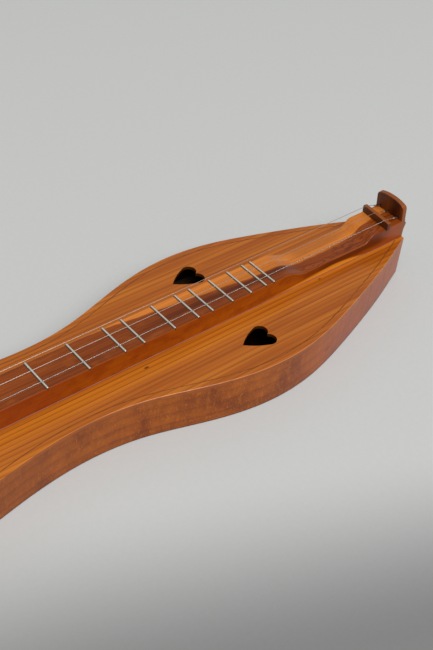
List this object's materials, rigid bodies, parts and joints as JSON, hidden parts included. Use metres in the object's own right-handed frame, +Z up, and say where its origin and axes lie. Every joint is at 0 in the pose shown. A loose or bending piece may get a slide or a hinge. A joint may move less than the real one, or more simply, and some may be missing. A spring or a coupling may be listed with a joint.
{
  "type": "fretted box zither",
  "caption": "Mountain dulcimer: hourglass box zither with a raised fretboard, strum hollow, heart sound holes, end plate, and tuning pegs in a scrolled pegbox.",
  "frame": {"origin": "middle of the underside of the back, centred on the whole length and width, on the surface that it lies on", "axes": "+X from the head to the tail along the strings, +Y to the side away from the player, +Z up out of the soundboard"},
  "size_m": [0.8992, 0.159, 0.0777],
  "materials": {
    "soundboard_cedar": "satin varnish",
    "body_hardwood": "satin varnish",
    "inner_softwood": "raw",
    "purfling_dark": "satin varnish",
    "fretboard_cedar": "satin varnish",
    "fret_wire": "polished",
    "dark_hardwood": "satin",
    "head_wood": "satin varnish",
    "ball_brass": "satin",
    "string_steel": "polished",
    "string_wound": "wound",
    "peg_wood": "satin"
  },
  "bodies": {
    "root": {"soundboard_far": "soundboard_cedar", "soundboard_near": "soundboard_cedar", "back_far": "body_hardwood", "back_near": "body_hardwood", "side_far": "body_hardwood", "side_near": "body_hardwood", "tail_block": "inner_softwood", "head_block": "inner_softwood", "lining_top_far": "inner_softwood", "lining_top_near": "inner_softwood", "lining_back_far": "inner_softwood", "lining_back_near": "inner_softwood", "back_centre_strip": "inner_softwood", "top_brace_1": "inner_softwood", "top_brace_2": "inner_softwood", "top_brace_3": "inner_softwood", "back_brace_1": "inner_softwood", "back_brace_2": "inner_softwood", "back_brace_3": "inner_softwood", "back_brace_4": "inner_softwood", "purfling_far": "purfling_dark", "purfling_near": "purfling_dark", "fretboard": "fretboard_cedar", "fret_01": "fret_wire", "fret_02": "fret_wire", "fret_03": "fret_wire", "fret_04": "fret_wire", "fret_05": "fret_wire", "fret_06": "fret_wire", "fret_07": "fret_wire", "fret_08": "fret_wire", "fret_09": "fret_wire", "fret_10": "fret_wire", "fret_11": "fret_wire", "fret_12": "fret_wire", "fret_13": "fret_wire", "fret_14": "fret_wire", "fret_15": "fret_wire", "fret_16": "fret_wire", "fret_17": "fret_wire", "nut": "dark_hardwood", "bridge": "dark_hardwood", "end_plate": "dark_hardwood", "pegbox": "head_wood", "ball_end_bass": "ball_brass", "ball_end_middle": "ball_brass", "ball_end_melody": "ball_brass", "string_middle": "string_steel", "string_melody": "string_steel", "string_bass": "string_wound"},
    "peg_bass_body": {"peg_bass": "peg_wood", "winding_bass": "string_wound"},
    "peg_middle_body": {"peg_middle": "peg_wood", "winding_middle": "string_steel"},
    "peg_melody_body": {"peg_melody": "peg_wood", "winding_melody": "string_steel"}
  },
  "joints": [
    {"name": "peg_bass_turn", "type": "hinge", "parent": "root", "child": "peg_bass_body", "pos_m": [-0.3262, 0, 0.041], "axis": [0, 1, 0], "continuous": true},
    {"name": "peg_middle_turn", "type": "hinge", "parent": "root", "child": "peg_middle_body", "pos_m": [-0.3782, 0, 0.041], "axis": [0, 1, 0], "continuous": true},
    {"name": "peg_melody_turn", "type": "hinge", "parent": "root", "child": "peg_melody_body", "pos_m": [-0.3522, 0, 0.041], "axis": [0, 1, 0], "continuous": true}
  ]
}
